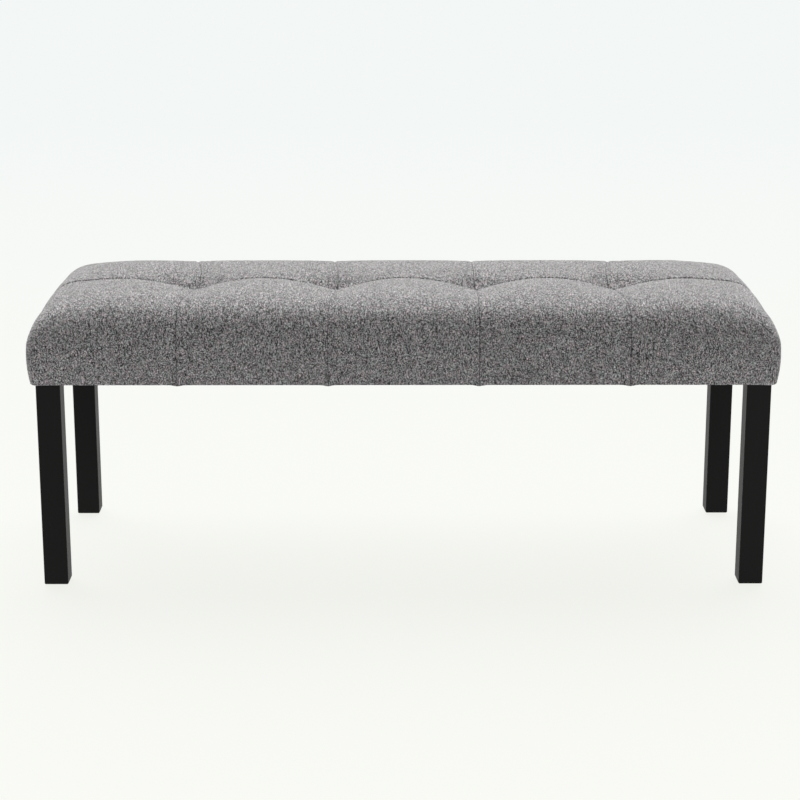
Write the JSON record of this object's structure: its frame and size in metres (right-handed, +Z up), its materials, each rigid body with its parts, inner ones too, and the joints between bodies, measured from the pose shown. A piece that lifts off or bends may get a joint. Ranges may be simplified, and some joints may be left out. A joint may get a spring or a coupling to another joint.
{
  "type": "upholstered bench",
  "caption": "Long backless seat: a deep box cushion of tufted, seamed cloth panels over a hidden wooden frame, on straight square black legs.",
  "frame": {"origin": "on the floor, under the middle of the seat", "axes": "+X along the bench, to the right as the picture shows it; +Y to its back; +Z up"},
  "size_m": [1.1682, 0.406, 0.463],
  "materials": {
    "cover_cloth": "heather mid-grey plain weave, matt",
    "wadding": "white fibre wadding",
    "foam": "cream polyurethane foam",
    "frame_wood": "raw sawn softwood",
    "deck_plywood": "raw plywood",
    "leg_wood": "black stain under satin lacquer",
    "glide_plastic": "black moulded",
    "zinc_steel": "zinc plated",
    "washer_plastic": "natural white moulded",
    "twine": "waxed cord",
    "dust_cloth": "black felted non-woven sheet"
  },
  "bodies": {
    "root": {"front_panel_1": "cover_cloth", "front_panel_2": "cover_cloth", "front_panel_3": "cover_cloth", "front_panel_4": "cover_cloth", "front_panel_5": "cover_cloth", "rear_panel_1": "cover_cloth", "rear_panel_2": "cover_cloth", "rear_panel_3": "cover_cloth", "rear_panel_4": "cover_cloth", "rear_panel_5": "cover_cloth", "wadding": "wadding", "seat_foam": "foam", "front_rail": "frame_wood", "rear_rail": "frame_wood", "left_end_rail": "frame_wood", "right_end_rail": "frame_wood", "cross_rail_1": "frame_wood", "cross_rail_2": "frame_wood", "cross_rail_3": "frame_wood", "seat_deck": "deck_plywood", "corner_block_front_left": "frame_wood", "leg_front_left": "leg_wood", "glide_front_left": "glide_plastic", "corner_block_front_right": "frame_wood", "leg_front_right": "leg_wood", "glide_front_right": "glide_plastic", "corner_block_rear_left": "frame_wood", "leg_rear_left": "leg_wood", "glide_rear_left": "glide_plastic", "corner_block_rear_right": "frame_wood", "leg_rear_right": "leg_wood", "glide_rear_right": "glide_plastic", "hanger_bolts": "zinc_steel", "t_nuts": "zinc_steel", "frame_screws": "zinc_steel", "tuft_washers": "washer_plastic", "tuft_twines": "twine", "dust_cover": "dust_cloth"}
  },
  "joints": []
}
